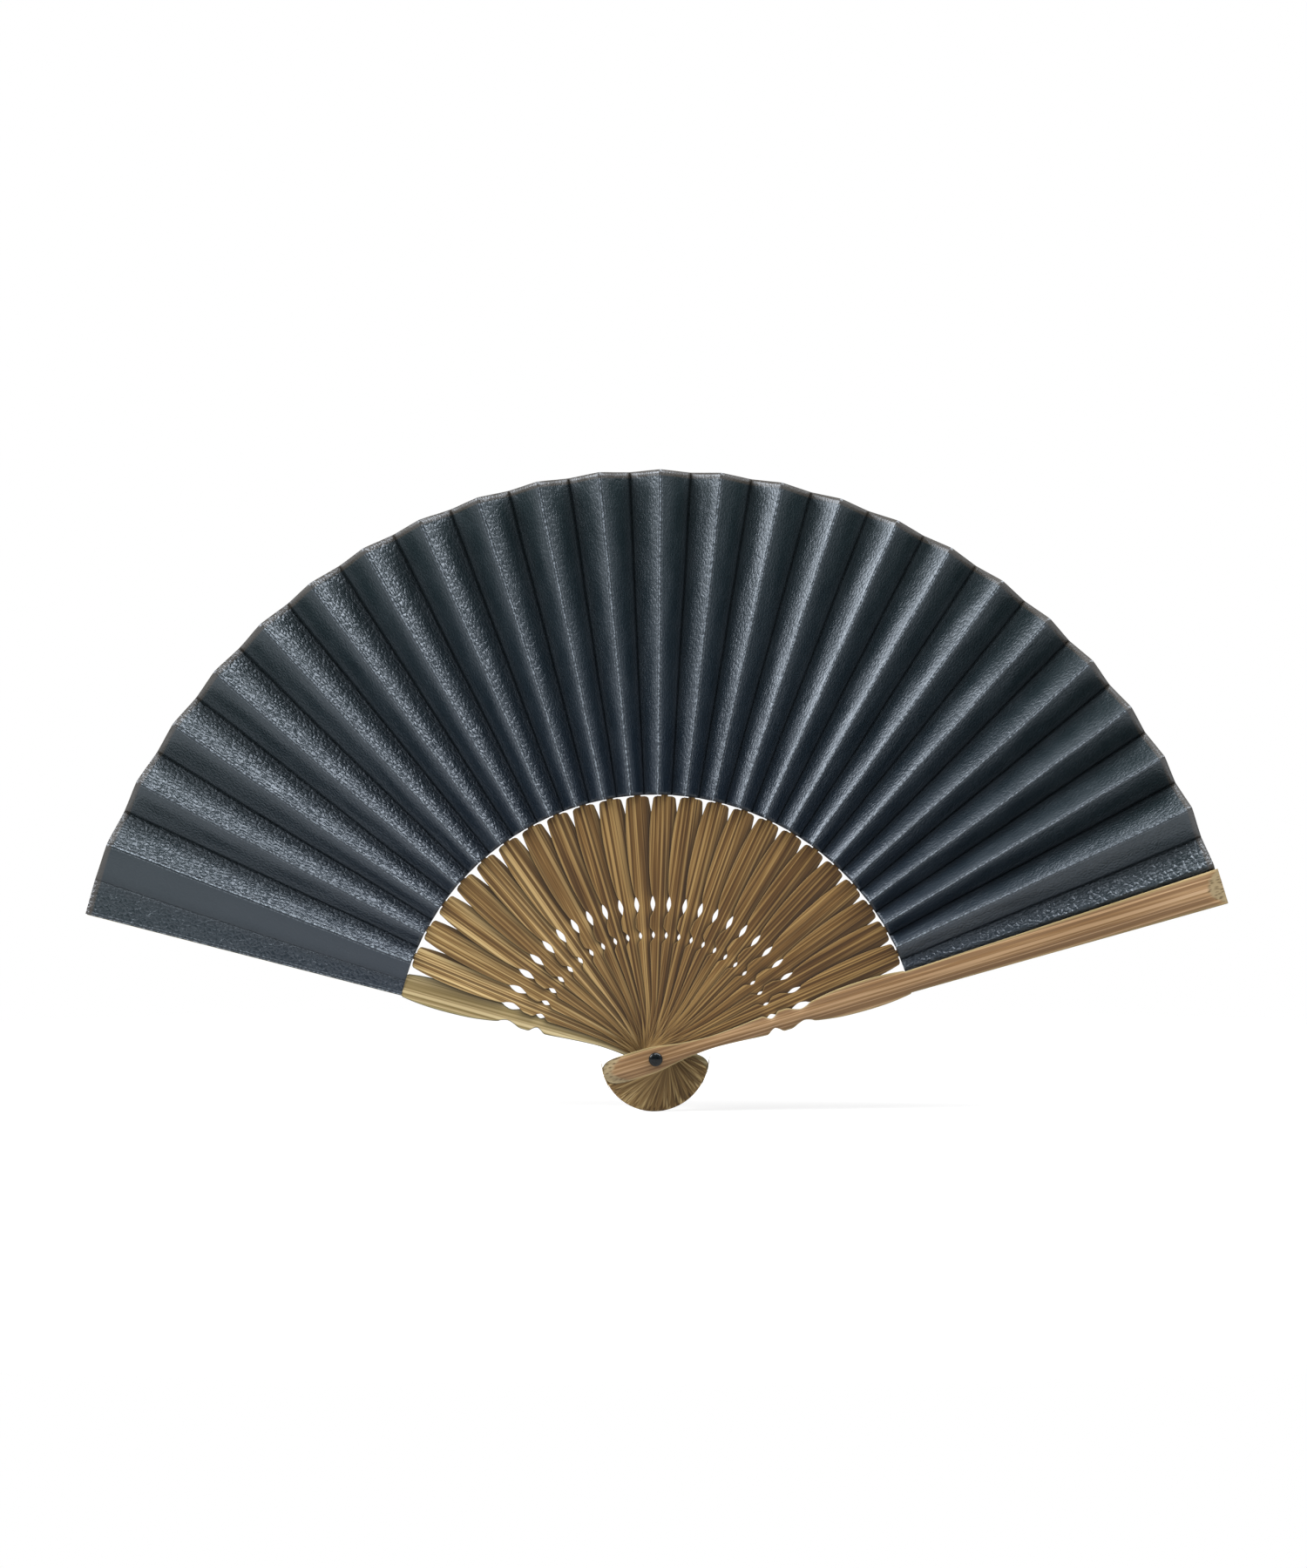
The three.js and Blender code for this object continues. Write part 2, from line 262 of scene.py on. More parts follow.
# %% World, lamps and floor
pure_white = (1, 1, 1, 1)
fill_strength = 0.32
dark_side = 0.16
dark_until = -0.95
bright_from = -0.2
world = bpy.data.worlds.new("white room")
bpy.context.scene.world = world
world.use_nodes = True
sky_tree = world.node_tree
sky_tree.nodes.clear()
fill = add(sky_tree, "ShaderNodeBackground", {"Color": pure_white, "Strength": fill_strength})
towards_sky = add(sky_tree, "ShaderNodeTexCoord").outputs["Generated"]
backwards = add(sky_tree, "ShaderNodeSeparateXYZ", {0: towards_sky}).outputs[1]
room = add(sky_tree, "ShaderNodeMapRange", {"Value": backwards, "From Min": dark_until,
                                            "From Max": bright_from, "To Min": dark_side,
                                            "To Max": 1.0}).outputs[0]
to_camera = add(sky_tree, "ShaderNodeLightPath").outputs["Is Camera Ray"]
white = add(sky_tree, "ShaderNodeBackground", {"Color": pure_white,
                                               "Strength": maths(sky_tree, "MAXIMUM", room, to_camera)})
sky = add(sky_tree, "ShaderNodeMixShader", {0: seen_directly(sky_tree), 1: fill.outputs[0],
                                            2: white.outputs[0]})
add(sky_tree, "ShaderNodeOutputWorld", {"Surface": sky.outputs[0]})

fan_middle = Vector((0, 0, 0.09))
lamp_distance = 0.96


def area_lamp(name, direction, width, height, brightness):
    """A soft box that gives a white surface this brightness where it faces the lamp."""
    lamp = bpy.data.lights.new(name, "AREA")
    lamp.shape = "RECTANGLE"
    lamp.size = width
    lamp.size_y = height
    lamp.energy = brightness * (math.pi * lamp_distance) ** 2
    holder = bpy.data.objects.new(name, lamp)
    towards = Vector(direction).normalized()
    upwards = towards.cross(Vector((1, 0, 0))).normalized()
    aside = upwards.cross(towards)
    holder.location = fan_middle + towards * lamp_distance
    holder.rotation_euler = Matrix((aside, upwards, towards)).transposed().to_euler()
    bpy.context.collection.objects.link(holder)


area_lamp("top lamp", direction=(0.42, -0.3, 0.86), width=1.15, height=0.3, brightness=1.85)
area_lamp("left lamp", direction=(-0.82, -0.24, 0.51), width=0.5, height=0.6, brightness=1.35)
area_lamp("front lamp", direction=(-0.11, -0.56, 0.76), width=0.3, height=0.3, brightness=0.22)

floor_level = -head_length
floor_size = 3
floor_light = 0.78
shadow_reach = 0.3
shadow_gone = 0.55
floor_white, floor_tree, floor_out = new_material("white paper floor")
floor_pale = add(floor_tree, "ShaderNodeBsdfDiffuse", {"Color": colour("#BCBCBC")})
floor_glow = add(floor_tree, "ShaderNodeEmission", {"Color": pure_white, "Strength": floor_light})
floor_shade = add(floor_tree, "ShaderNodeBsdfDiffuse", {"Color": colour("#979797")})
floor_near = add(floor_tree, "ShaderNodeAddShader", {0: floor_glow.outputs[0], 1: floor_shade.outputs[0]})
floor_far = add(floor_tree, "ShaderNodeEmission", {"Color": pure_white, "Strength": 1.0})
floor_place = add(floor_tree, "ShaderNodeTexCoord").outputs["Object"]
from_fan = add(floor_tree, "ShaderNodeVectorMath", {0: floor_place}, operation="LENGTH").outputs["Value"]
far_away = add(floor_tree, "ShaderNodeMapRange", {"Value": from_fan, "From Min": shadow_reach,
                                                  "From Max": shadow_gone}).outputs[0]
floor_seen = add(floor_tree, "ShaderNodeMixShader", {0: far_away, 1: floor_near.outputs[0],
                                                     2: floor_far.outputs[0]})
floor_mix = add(floor_tree, "ShaderNodeMixShader", {0: seen_directly(floor_tree),
                                                    1: floor_pale.outputs[0], 2: floor_seen.outputs[0]})
floor_tree.links.new(floor_mix.outputs[0], floor_out.inputs["Surface"])

bm = bmesh.new()
bmesh.ops.create_grid(bm, x_segments=1, y_segments=1, size=floor_size,
                      matrix=Matrix.Translation((0, 0, floor_level)))
floor_mesh = bpy.data.meshes.new("floor")
bm.to_mesh(floor_mesh)
bm.free()
floor = bpy.data.objects.new("floor", floor_mesh)
floor_mesh.materials.append(floor_white)
bpy.context.collection.objects.link(floor)
bpy.context.scene.view_settings.view_transform = "Standard"
print("lamps:", len(bpy.data.lights), "and the floor at", floor_level, "m")

# %% [markdown]
# ## Bamboo
#
# The sticks are split bamboo, smoked and stained brown. Bamboo is a bundle of long straight fibres in
# a softer ground, so its face shows fine light and dark streaks along the grain, and a slanting cut
# shows the bundles as short dark dashes. The streaks follow each stick, so they read a UV map that
# holds the real place across and along it, in metres, with an offset for each stick. The real
# streaks lie about 0.85 mm apart. They are drawn about 1.3 mm apart, since finer ones don't show in
# a render.

# %% Bamboo, smoked and stained
fibre_width = 0.7 * MM
thread_width = 0.75 * MM
fibre_length = 40 * MM
thread_length = 500 * MM
band_width = 1.8 * MM
band_length = 120 * MM
bundle_width = 0.7 * MM
bundle_length = 2.0 * MM
tone_width = 30 * MM
tone_length = 70 * MM
pore_size = 2.2 * MM
fibre_relief = 0.06 * MM
raggedness = 0.4


def stretched_noise(tree, vector, width, length, detail, shift=0.0):
    """Noise drawn out along the grain."""
    mapped = add(tree, "ShaderNodeMapping", {"Vector": vector, "Location": (shift, shift, 0),
                                             "Scale": (1 / width, 1 / length, 1)})
    return add(tree, "ShaderNodeTexNoise", {"Vector": mapped.outputs[0], "Scale": 1.0, "Detail": detail,
                                            "Roughness": 0.6}).outputs["Fac"]


def ramp(tree, factor, stops):
    """A colour ramp through (place, colour) stops."""
    node = add(tree, "ShaderNodeValToRGB", {"Fac": factor})
    elements = node.color_ramp.elements
    while len(elements) < len(stops):
        elements.new(0.5)
    for element, (place, value) in zip(elements, stops):
        element.position = place
        element.color = value
    return node.outputs["Color"]


def grey(value):
    return (value, value, value, 1)


def mixed(tree, factor, first, second, blend_type="MIX"):
    """Two colours mixed by a factor."""
    return add(tree, "ShaderNodeMix", {0: factor, 6: first, 7: second}, data_type="RGBA",
               blend_type=blend_type).outputs[2]


def masked(tree, factor, stops, first, second):
    """Two colours mixed by a ramp of grey values, given as (place, value) stops."""
    return mixed(tree, ramp(tree, factor, [(place, grey(value)) for place, value in stops]), first, second)


def attribute(tree, name):
    """A number that the mesh carries at its points."""
    return add(tree, "ShaderNodeAttribute", attribute_name=name).outputs["Fac"]


def bamboo(name, dark, base, light, rind, core, cut_light, warm):
    """Split bamboo: dark and light are its streaks, rind is the skin at a strip's edges, core its
    middle, cut_light the ground of a slanting cut, and warm the tint of the deeper stained sticks."""
    material, tree, output = new_material(name)
    grain = add(tree, "ShaderNodeUVMap", uv_map="fibres").outputs[0]
    fine = stretched_noise(tree, grain, fibre_width, fibre_length, 2.0)
    bands = stretched_noise(tree, grain, band_width, band_length, 1.0, shift=3.7)
    pale_threads = stretched_noise(tree, grain, thread_width, thread_length, 0.0, shift=9.1)
    dark_threads = stretched_noise(tree, grain, thread_width, thread_length, 0.0, shift=14.3)
    tone = stretched_noise(tree, grain, tone_width, tone_length, 1.0, shift=5.3)
    body = ramp(tree, fine, [(0.34, colour(dark)), (0.5, colour(base)), (0.66, colour(light))])
    banded = masked(tree, bands, [(0.4, 0.0), (0.66, 0.7)], body, colour(core))
    paled = masked(tree, pale_threads, [(0.55, 0.0), (0.64, 0.9)], banded, colour(light))
    threaded = masked(tree, dark_threads, [(0.36, 0.85), (0.45, 0.0)], paled, colour(dark))
    patches = ramp(tree, tone, [(0.35, colour("#DAD4CA")), (0.62, colour("#FFFFFF"))])
    toned = mixed(tree, 1.0, threaded, patches, "MULTIPLY")
    warmed = mixed(tree, attribute(tree, "stain_and_head_light"), toned, mixed(tree, 1.0, toned, colour(warm), "MULTIPLY"))
    skinned = masked(tree, attribute(tree, "edge"), [(0.82, 0.0), (0.98, 0.6)], warmed, colour(rind))

    # A slanting cut shows the ends of the fibre bundles, and it starts raggedly
    cut_map = add(tree, "ShaderNodeMapping", {"Vector": grain,
                                              "Scale": (1 / bundle_width, 1 / bundle_length, 1)}).outputs[0]
    cells = add(tree, "ShaderNodeTexVoronoi", {"Vector": cut_map, "Scale": 1.0}).outputs["Distance"]
    pores = add(tree, "ShaderNodeTexNoise", {"Vector": grain, "Scale": 1 / pore_size,
                                             "Detail": 1.0}).outputs["Fac"]
    bundles = ramp(tree, cells, [(0.2, colour("#4A3A24")), (0.5, colour(cut_light))])
    specks = masked(tree, pores, [(0.35, 0.4), (0.55, 1.0)], colour(cut_light), bundles)
    ragged = maths(tree, "SUBTRACT", attribute(tree, "cut"), maths(tree, "MULTIPLY", fine, raggedness))
    ended = masked(tree, ragged, [(0.0, 0.0), (0.2, 0.9)], skinned, specks)
    # Painted shade: near-black brown beside the next stick's edge, where that stick shades this one.
    shaded_beside_next = mixed(tree, attribute(tree, "overlap_shade"), ended, colour("#20160B"))
    relief = add(tree, "ShaderNodeBump", {"Strength": 0.5, "Distance": fibre_relief, "Height": fine})
    surface = add(tree, "ShaderNodeBsdfPrincipled", {"Base Color": shaded_beside_next, "Roughness": 0.52,
                                                     "Normal": relief.outputs[0]})
    surface.inputs["Specular IOR Level"].default_value = 0.3
    tree.links.new(surface.outputs[0], output.inputs["Surface"])
    print("material:", name)
    return material


rib_bamboo = bamboo("smoked bamboo, split thin", dark="#573F1F", base="#907344", light="#CCB481",
                    rind="#7E663E", core="#80643C", cut_light="#A8956A", warm="#BEB09A")
front_bamboo = bamboo("stained bamboo, front guard", dark="#71563A", base="#886A48", light="#AC9070",
                      rind="#968A60", core="#80623F", cut_light="#8C7E60", warm="#FFFFFF")
rear_bamboo = bamboo("stained bamboo, rear guard", dark="#7A6A42", base="#A1906A", light="#C2B28A",
                     rind="#A09A70", core="#8F7E56", cut_light="#A89C74", warm="#FFFFFF")

# %% [markdown]
# ## Sticks
#
# A stick starts as a flat grid. Every row of it is stretched to the stick's width at that distance
# from the rivet, the face is crowned a little, and the grid is extruded to its thickness. The
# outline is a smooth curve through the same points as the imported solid: head, waist, two notches
# with their beads, shoulder and collar.

# %% The outline of a handle
def spline(points, per_span):
    """A smooth curve through points, with per_span samples between two of them."""
    curve = []
    last = len(points) - 1
    for i in range(last):
        before, start = Vector(points[max(i - 1, 0)]), Vector(points[i])
        end, after = Vector(points[i + 1]), Vector(points[min(i + 2, last)])
        leave, arrive = (end - before) / 2, (after - start) / 2
        for j in range(per_span):
            t = j / per_span
            curve.append(start + leave * t + (3 * (end - start) - 2 * leave - arrive) * t ** 2
                         + (2 * (start - end) + leave + arrive) * t ** 3)
    return curve + [Vector(points[last])]


def handle_curve(shoulder_half, collar_half, collar_at):
    """One side of a handle as points of half width and distance, from the head's end to the collar."""
    head_shares = [(0, 1), (0.5, 0.985), (0.82, 0.9), (0.96, 0.75), (1, 0.45), (0.95, 0)]
    head = [(head_half * across, -head_length * along) for across, along in head_shares]
    slope_share, lip_share = 0.35, 0.97
    cheek_share, cheek_at_share = 0.75, 0.55
    neck_share, neck_at_share = 0.35, 0.6

    def notch(at, length, half, low_half, high_half):
        reach = length / 2
        return [(low_half * lip_share, at - reach), (between(half, low_half, slope_share), at - reach / 2),
                (half, at), (between(half, high_half, slope_share), at + reach / 2),
                (high_half * lip_share, at + reach)]

    return spline([
        *head,
        (between(head_half, waist_half, 2 * slope_share), waist_at / 2),
        (waist_half, waist_at),
        (between(waist_half, lower_bead_half, slope_share), (waist_at + lower_bead_at) / 2),
        (lower_bead_half, lower_bead_at),
        *notch(small_notch_at, small_notch_length, small_notch_half, lower_bead_half, bead_half),
        (bead_half, bead_at),
        *notch(large_notch_at, large_notch_length, large_notch_half, bead_half, bead_half),
        (between(bead_half, shoulder_half, cheek_share),
         between(large_notch_at, shoulder_at, cheek_at_share)),
        (shoulder_half, shoulder_at),
        (between(shoulder_half, collar_half, neck_share),
         between(shoulder_at, collar_at, neck_at_share)),
        (collar_half, collar_at),
    ], per_span=4)


def straight(start, end, count):
    return [Vector(start).lerp(Vector(end), i / count) for i in range(1, count + 1)]


slat_step = 0.05 * MM
slat_rows = 24
blade_step = 0.25 * MM
blade_rows = 30
bevel_rows = 14


def rib_side():
    corner_at = handle_length - rib_corner
    corner = []
    corner_steps = 4
    for i in range(1, corner_steps + 1):
        turn = math.pi / 2 * i / corner_steps
        corner.append(Vector((rib_collar_half - rib_corner * (1 - math.cos(turn)),
                              corner_at + rib_corner * math.sin(turn))))
    slat_root = (slat_half, handle_length + slat_step)
    return [*handle_curve(rib_shoulder_half, rib_collar_half, corner_at), *corner, Vector(slat_root),
            *straight(slat_root, (slat_half, leaf_rim - slat_short), slat_rows)]


def guard_side():
    blade_root = (blade_root_half, handle_length + blade_step)
    bevel_root = (between(blade_tip_half, blade_root_half, guard_bevel / (guard_length - handle_length)),
                  guard_length - guard_bevel)
    return [*handle_curve(guard_shoulder_half, guard_collar_half, handle_length), Vector(blade_root),
            *straight(blade_root, bevel_root, blade_rows),
            *straight(bevel_root, (blade_tip_half, guard_length), bevel_rows)]


def half_at(side, along):
    """Half the width of a side at a distance from the rivet."""
    for (half, at), (next_half, next_at) in zip(side, side[1:]):
        if at <= along <= next_at and next_at > at:
            return between(half, next_half, (along - at) / (next_at - at))
    return 0.0


# %% Helpers that make a piece
columns = 16


def shaped_grid(across, along, place):
    """A grid of faces whose every point (u, v), each from 0 to 1, is moved to place(u, v)."""
    grid = bmesh.new()
    bmesh.ops.create_grid(grid, x_segments=across, y_segments=along, size=0.5)
    for vert in grid.verts:
        vert.co = place(vert.co.x + 0.5, vert.co.y + 0.5)
    bmesh.ops.remove_doubles(grid, verts=grid.verts[:], dist=0.001 * MM)
    return grid


def make_object(name, shape, material):
    """Turns a bmesh into a smooth object with one material."""
    mesh = bpy.data.meshes.new(name)
    shape.to_mesh(mesh)
    shape.free()
    mesh.materials.append(material)
    mesh.shade_smooth()
    mesh.set_sharp_from_angle(angle=math.radians(40))
    made = bpy.data.objects.new(name, mesh)
    bpy.context.collection.objects.link(made)
    return made


def apply_modifiers(piece):
    shaped = bpy.data.meshes.new_from_object(piece.evaluated_get(bpy.context.evaluated_depsgraph_get()))
    piece.modifiers.clear()
    piece.data = shaped


def upright_stick(side, face, back, edge_radius):
    """A stick that points up, with its level as -Y. face(share, along) and back(along) are levels."""
    rows = len(side) - 1

    def place(u, v):
        half, along = side[round(v * rows)]
        share = math.sin((u - 0.5) * math.pi)
        return Vector((half * share, -face(share, along), along))

    stick = shaped_grid(columns, rows, place)
    extruded = bmesh.ops.extrude_face_region(stick, geom=stick.faces[:])
    for item in extruded["geom"]:
        if isinstance(item, bmesh.types.BMVert):
            item.co.y = -back(item.co.z)
    bmesh.ops.recalc_face_normals(stick, faces=stick.faces[:])
    rims = [edge for edge in stick.edges if edge.calc_face_angle(0.0) > math.radians(50)]
    bmesh.ops.bevel(stick, geom=rims, offset=edge_radius, segments=2, profile=0.5, affect="EDGES",
                    material=-1)
    bmesh.ops.dissolve_degenerate(stick, dist=0.0005 * MM, edges=stick.edges[:])
    return stick


def bore(stick_object):
    """Cuts the rivet's hole."""
    drill = bmesh.new()
    radius = pin_radius + bore_clearance
    bmesh.ops.create_cone(drill, cap_ends=True, segments=32, radius1=radius, radius2=radius,
                          depth=4 * guard_thickness, matrix=Matrix.Rotation(math.pi / 2, 4, "X"))
    cutter = make_object("drill", drill, rib_bamboo)
    cut = stick_object.modifiers.new("bore", "BOOLEAN")
    cut.object = cutter
    cut.solver = "EXACT"
    apply_modifiers(stick_object)
    bpy.data.objects.remove(cutter)


stained_from = 9
full_overlap_shade = 0.9
shade_reach = 0.2 * MM
shade_spread = 0.2


def place_stick(k, name, source, level, side, next_side, material, skin=None):
    """A turned copy of an upright stick, with the map and the values that its bamboo reads."""
    stick = bmesh.new()
    stick.from_mesh(source)
    grain = stick.loops.layers.uv.verify()
    edge = stick.verts.layers.float.new("edge")
    cut = stick.verts.layers.float.new("cut")
    overlap_shade = stick.verts.layers.float.new("overlap_shade")
    stain_and_head_light = stick.verts.layers.float.new("stain_and_head_light")
    step = step_after(k) if k < front_number else 0.0
    for vert in stick.verts:
        x, height, z = vert.co.x, -vert.co.y, vert.co.z
        half = max(half_at(side, z), 0.01 * MM)
        vert[edge] = min(abs(x) / half, 1.0)
        # The stain fades out over the head: painted light that lightens the head, which the lamps leave in
        # shade.
        vert[stain_and_head_light] = min(k / stained_from, 1.0) * clamped(1 + z / head_length)
        vert[cut] = max(skin(x / half, z) - height, 0.0) / MM if skin else 0.0
        # Painted shade beside the next stick's edge: dark at the edge, fading with distance, fading out
        # towards the head, and none above the handle.
        if next_side:
            over_x = x * math.cos(step) - z * math.sin(step)
            over_z = z * math.cos(step) + x * math.sin(step)
            away = max(abs(over_x) - half_at(next_side, over_z), 0.0)
            reach = shade_reach + shade_spread * abs(z) * math.sin(step)
            depth = full_overlap_shade * clamped(z / waist_at)
            vert[overlap_shade] = depth * math.exp(-away / reach) if z < leaf_inner else 0.0
    for face in stick.faces:
        for loop in face.loops:
            loop[grain].uv = (loop.vert.co.x + 0.05 * k, loop.vert.co.z + 0.02 * k)
    placed = Matrix.Rotation(stick_turn(k), 4, "Y") @ Matrix.Translation((0, middle_level - level, 0))
    bmesh.ops.transform(stick, matrix=placed, verts=stick.verts[:])
    stick_object = make_object(name, stick, material)
    stick_object.data.uv_layers[0].name = "fibres"
    return stick_object


# %% [markdown]
# ## Ribs
#
# All the ribs are alike, so one blank is shaped and bored once, and each rib is a copy of it. The
# handle is 0.54 mm thick, crowned a little, and thins to a narrow slat that runs up under the leaf.
# Each rib is painted darker beside the edge of the next one, from the waist up: painted shade, where
# the next rib shades it. The stain fades out over the head, a painted light where the lamps leave it in
# shade.

# %% Ribs
rib_crown = 0.1 * MM
rib_edge_radius = 0.11 * MM


def rib_face(share, along):
    return rib_thickness - rib_crown * share ** 2


def rib_back(along):
    return rib_thickness - slat_thickness if along > handle_length else 0.0


blank_side = rib_side()
blank = make_object("rib blank", upright_stick(blank_side, rib_face, rib_back, rib_edge_radius), rib_bamboo)
bore(blank)
guard_outline = guard_side()
for k in range(1, front_number):
    next_side = guard_outline if k + 1 == front_number else blank_side
    rib = place_stick(k, f"bamboo_rib_{k:02d}", blank.data, rib_level(k), blank_side, next_side, rib_bamboo)
    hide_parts(rib_name(k))
    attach(rib, rib_name(k))
bpy.data.objects.remove(blank)
print("ribs:", rib_count, "of", len(rib.data.polygons), "faces")

# %% [markdown]
# ## Guards
#
# A guard is a strip from the wall of the culm. Its outer face keeps the round of the culm. The tip is
# cut on a slant, so the cut meets the round face in an arc, and the head is carved away all round a
# tongue of that face. Both cuts show the fibre bundles.

# %% Guards
guard_crown_head = 0.42 * MM
guard_crown_blade = 0.85 * MM
guard_edge_radius = 0.22 * MM
head_tongue = 4.8 * MM
head_wrap = 8 * MM
head_slope = 0.16
head_edge = 0.75 * MM


def guard_skin(share, along):
    """Height of a guard's round outer face above its inner face, before its ends are cut."""
    reach = clamped((along - waist_at) / (handle_length - waist_at))
    crown = between(guard_crown_head, guard_crown_blade, reach)
    return between(guard_head_thickness, guard_thickness, reach) - crown * share ** 2


def guard_face_with(recess):
    """The outer face of a guard whose inner face is set back by a recess for the leaf's end."""
    def face(share, along):
        carved = max(head_tongue + head_wrap * share ** 2 - (along + head_length), 0.0)
        head_cut = max(guard_skin(0, along) - head_slope * carved, head_edge)
        tip_edge = recess + guard_edge
        tip_cut = between(tip_edge, guard_thickness, (guard_length - along) / guard_bevel)
        return min(guard_skin(share, along), head_cut, tip_cut)
    return face


def guard_blank(name, recess, material):
    def back(along):
        return recess if along > handle_length else 0.0
    solid = upright_stick(guard_outline, guard_face_with(recess), back, guard_edge_radius)
    made = make_object(name, solid, material)
    bore(made)
    return made


front_blank = guard_blank("front blank", guard_recess, front_bamboo)
front_guard = place_stick(front_number, "bamboo_front_guard", front_blank.data, front_level,
                          guard_outline, None, front_bamboo, guard_skin)
rear_blank = guard_blank("rear blank", 0.0, rear_bamboo)
rear_blank.data.transform(Matrix.Scale(-1, 4, (0, 1, 0)))
rear_blank.data.flip_normals()
rear_guard = place_stick(0, "bamboo_rear_guard", rear_blank.data, 0.0, guard_outline, blank_side,
                         rear_bamboo)
bpy.data.objects.remove(front_blank)
bpy.data.objects.remove(rear_blank)
for guard, node in ((front_guard, "front_guard"), (rear_guard, "rear_guard")):
    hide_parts(node)
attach(front_guard, "front_guard")
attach(rear_guard, "root")
print("guards:", len(front_guard.data.polygons), "faces each")

# %% [markdown]
# ## Coated cloth
#
# The leaf is one sheet of cloth with a dark blue-black coating, embossed with a fine leather grain.
# The coating has a dull gloss, so a panel that tilts towards the lamp turns blue-grey and shows its
# grain, and one that tilts away stays nearly black. Along each ridge runs a thin pale line, broken,
# with a dark one beside it, the valleys and the cloth beside the front guard are darkened by painted
# shade, and a narrow brown-grey tape binds the rim. The cloth's UV map holds the distance from the
# ridge and from the rivet, in metres, and three values on its points say how far the ridge is, how
# deep the painted shade is and how deep the grain is pressed.

# %% Coated cloth, grained like leather
grain_width = 1.2 * MM
grain_length = 2.0 * MM
wave_size = 2.4 * MM
wave_shift = 1.3 * MM
wrinkle_size = 2.6 * MM
emboss_relief = 0.3 * MM
break_size = 1.0 * MM
gloss_patch = 12 * MM
ridge_line_reach = 1.2 * MM
rim_band = 2.2 * MM
pebble_share = 0.35
shade_roughness = 0.5


def coated_cloth():
    """Leather-grained cloth, with pale lines along the ridges, painted shade in the valleys and a bound rim.
    """
    material, tree, output = new_material("coated cloth, leather grain")
    cloth = add(tree, "ShaderNodeUVMap", uv_map="cloth").outputs[0]
    along = add(tree, "ShaderNodeSeparateXYZ", {0: cloth}).outputs[1]

    def cloth_noise(scale, detail):
        return add(tree, "ShaderNodeTexNoise", {"Vector": cloth, "Scale": 1 / scale, "Detail": detail})

    waves = add(tree, "ShaderNodeVectorMath", {0: cloth_noise(wave_size, 2.0).outputs["Color"],
                                               1: (wave_shift, wave_shift, 0), 2: cloth},
                operation="MULTIPLY_ADD")
    grain_map = add(tree, "ShaderNodeMapping", {"Vector": waves.outputs[0],
                                                "Scale": (1 / grain_width, 1 / grain_length, 1)})
    cells = add(tree, "ShaderNodeTexVoronoi", {"Vector": grain_map.outputs[0], "Scale": 1.0},
                voronoi_dimensions="2D", feature="DISTANCE_TO_EDGE").outputs["Distance"]
    pebbles = ramp(tree, cells, [(0.02, grey(0.0)), (0.3, grey(1.0))])
    wrinkles = cloth_noise(wrinkle_size, 3.0).outputs["Fac"]
    embossed = maths(tree, "ADD", maths(tree, "MULTIPLY", pebbles, pebble_share), wrinkles)
    height = maths(tree, "MULTIPLY", embossed, attribute(tree, "grain_depth"))

    to_rim = add(tree, "ShaderNodeMapRange", {"Value": along, "From Min": leaf_inner, "From Max": leaf_rim})
    ground = mixed(tree, to_rim.outputs[0], colour("#0B151F"), colour("#101B1D"))
    line_breaks = cloth_noise(break_size, 1.0).outputs["Fac"]
    # A thin pale line along each ridge, broken by noise, with a dark line beside it.
    near_ridge = maths(tree, "DIVIDE", attribute(tree, "from_ridge"), ridge_line_reach)
    pale_line = ramp(tree, near_ridge, [(0.0, grey(1.0)), (0.22, grey(1.0)), (0.34, grey(0.0)),
                                        (0.66, grey(0.0)), (0.76, grey(0.45)), (0.84, grey(0.45)),
                                        (0.96, grey(0.0))])
    broken = ramp(tree, line_breaks, [(0.46, grey(0.15)), (0.58, grey(0.95))])
    ridge_lined = mixed(tree, maths(tree, "MULTIPLY", pale_line, broken), ground, colour("#7C858E"))
    creased = masked(tree, near_ridge, [(0.34, 0.0), (0.4, 0.7), (0.58, 0.7), (0.66, 0.0)], ridge_lined,
                     colour("#05080A"))
    # Painted shade: the valleys and the cloth beside the front guard are darkened towards near-black and
    # made rougher.
    in_shade = attribute(tree, "shade")
    shaded = mixed(tree, in_shade, creased, colour("#06090B"))
    band = add(tree, "ShaderNodeMapRange", {"Value": along, "From Min": leaf_rim - rim_band,
                                            "From Max": leaf_rim - 0.75 * rim_band, "To Max": 0.8})
    bound = mixed(tree, band.outputs[0], shaded, colour("#3A342C"))
    gloss = ramp(tree, cloth_noise(gloss_patch, 2.0).outputs["Fac"], [(0.35, grey(0.33)), (0.65, grey(0.4))])
    rough_in_shade = maths(tree, "ADD", gloss, maths(tree, "MULTIPLY", in_shade, shade_roughness))
    relief = add(tree, "ShaderNodeBump", {"Strength": 1.0, "Distance": emboss_relief, "Height": height})
    surface = add(tree, "ShaderNodeBsdfPrincipled", {"Base Color": bound, "Roughness": rough_in_shade,
                                                     "Normal": relief.outputs[0]})
    surface.inputs["Specular IOR Level"].default_value = 0.74
    surface.inputs["Specular Tint"].default_value = colour("#DDE8F6")
    tree.links.new(surface.outputs[0], output.inputs["Surface"])
    return material


leaf_cloth = coated_cloth()

# %% [markdown]
# ## The leaf's creases
#
# A ridge stands towards the viewer and a valley away. The panel on a rib runs from the ridge on its
# left down to the valley on its right, and the free panel between two ribs climbs from a valley to
# the next ridge. Open, a panel takes up half of the step between two ribs, which is less than its
# real width of 4 degrees, so it stands tilted, by the rise that is left.

# %% Ridges and valleys
leaf_lean = math.radians(0.45)
lean_whole = 5
lean_gone = 10
valley_wander = 0.25 * MM
valley_wave = 30 * MM
ridge_wander = 0.22 * MM
ridge_wave = 16 * MM
ridge_lift = 0.25 * MM
lift_wave = 22 * MM


def panel_spread(k):
    return (step_after(k - 1) + step_after(k)) / 8


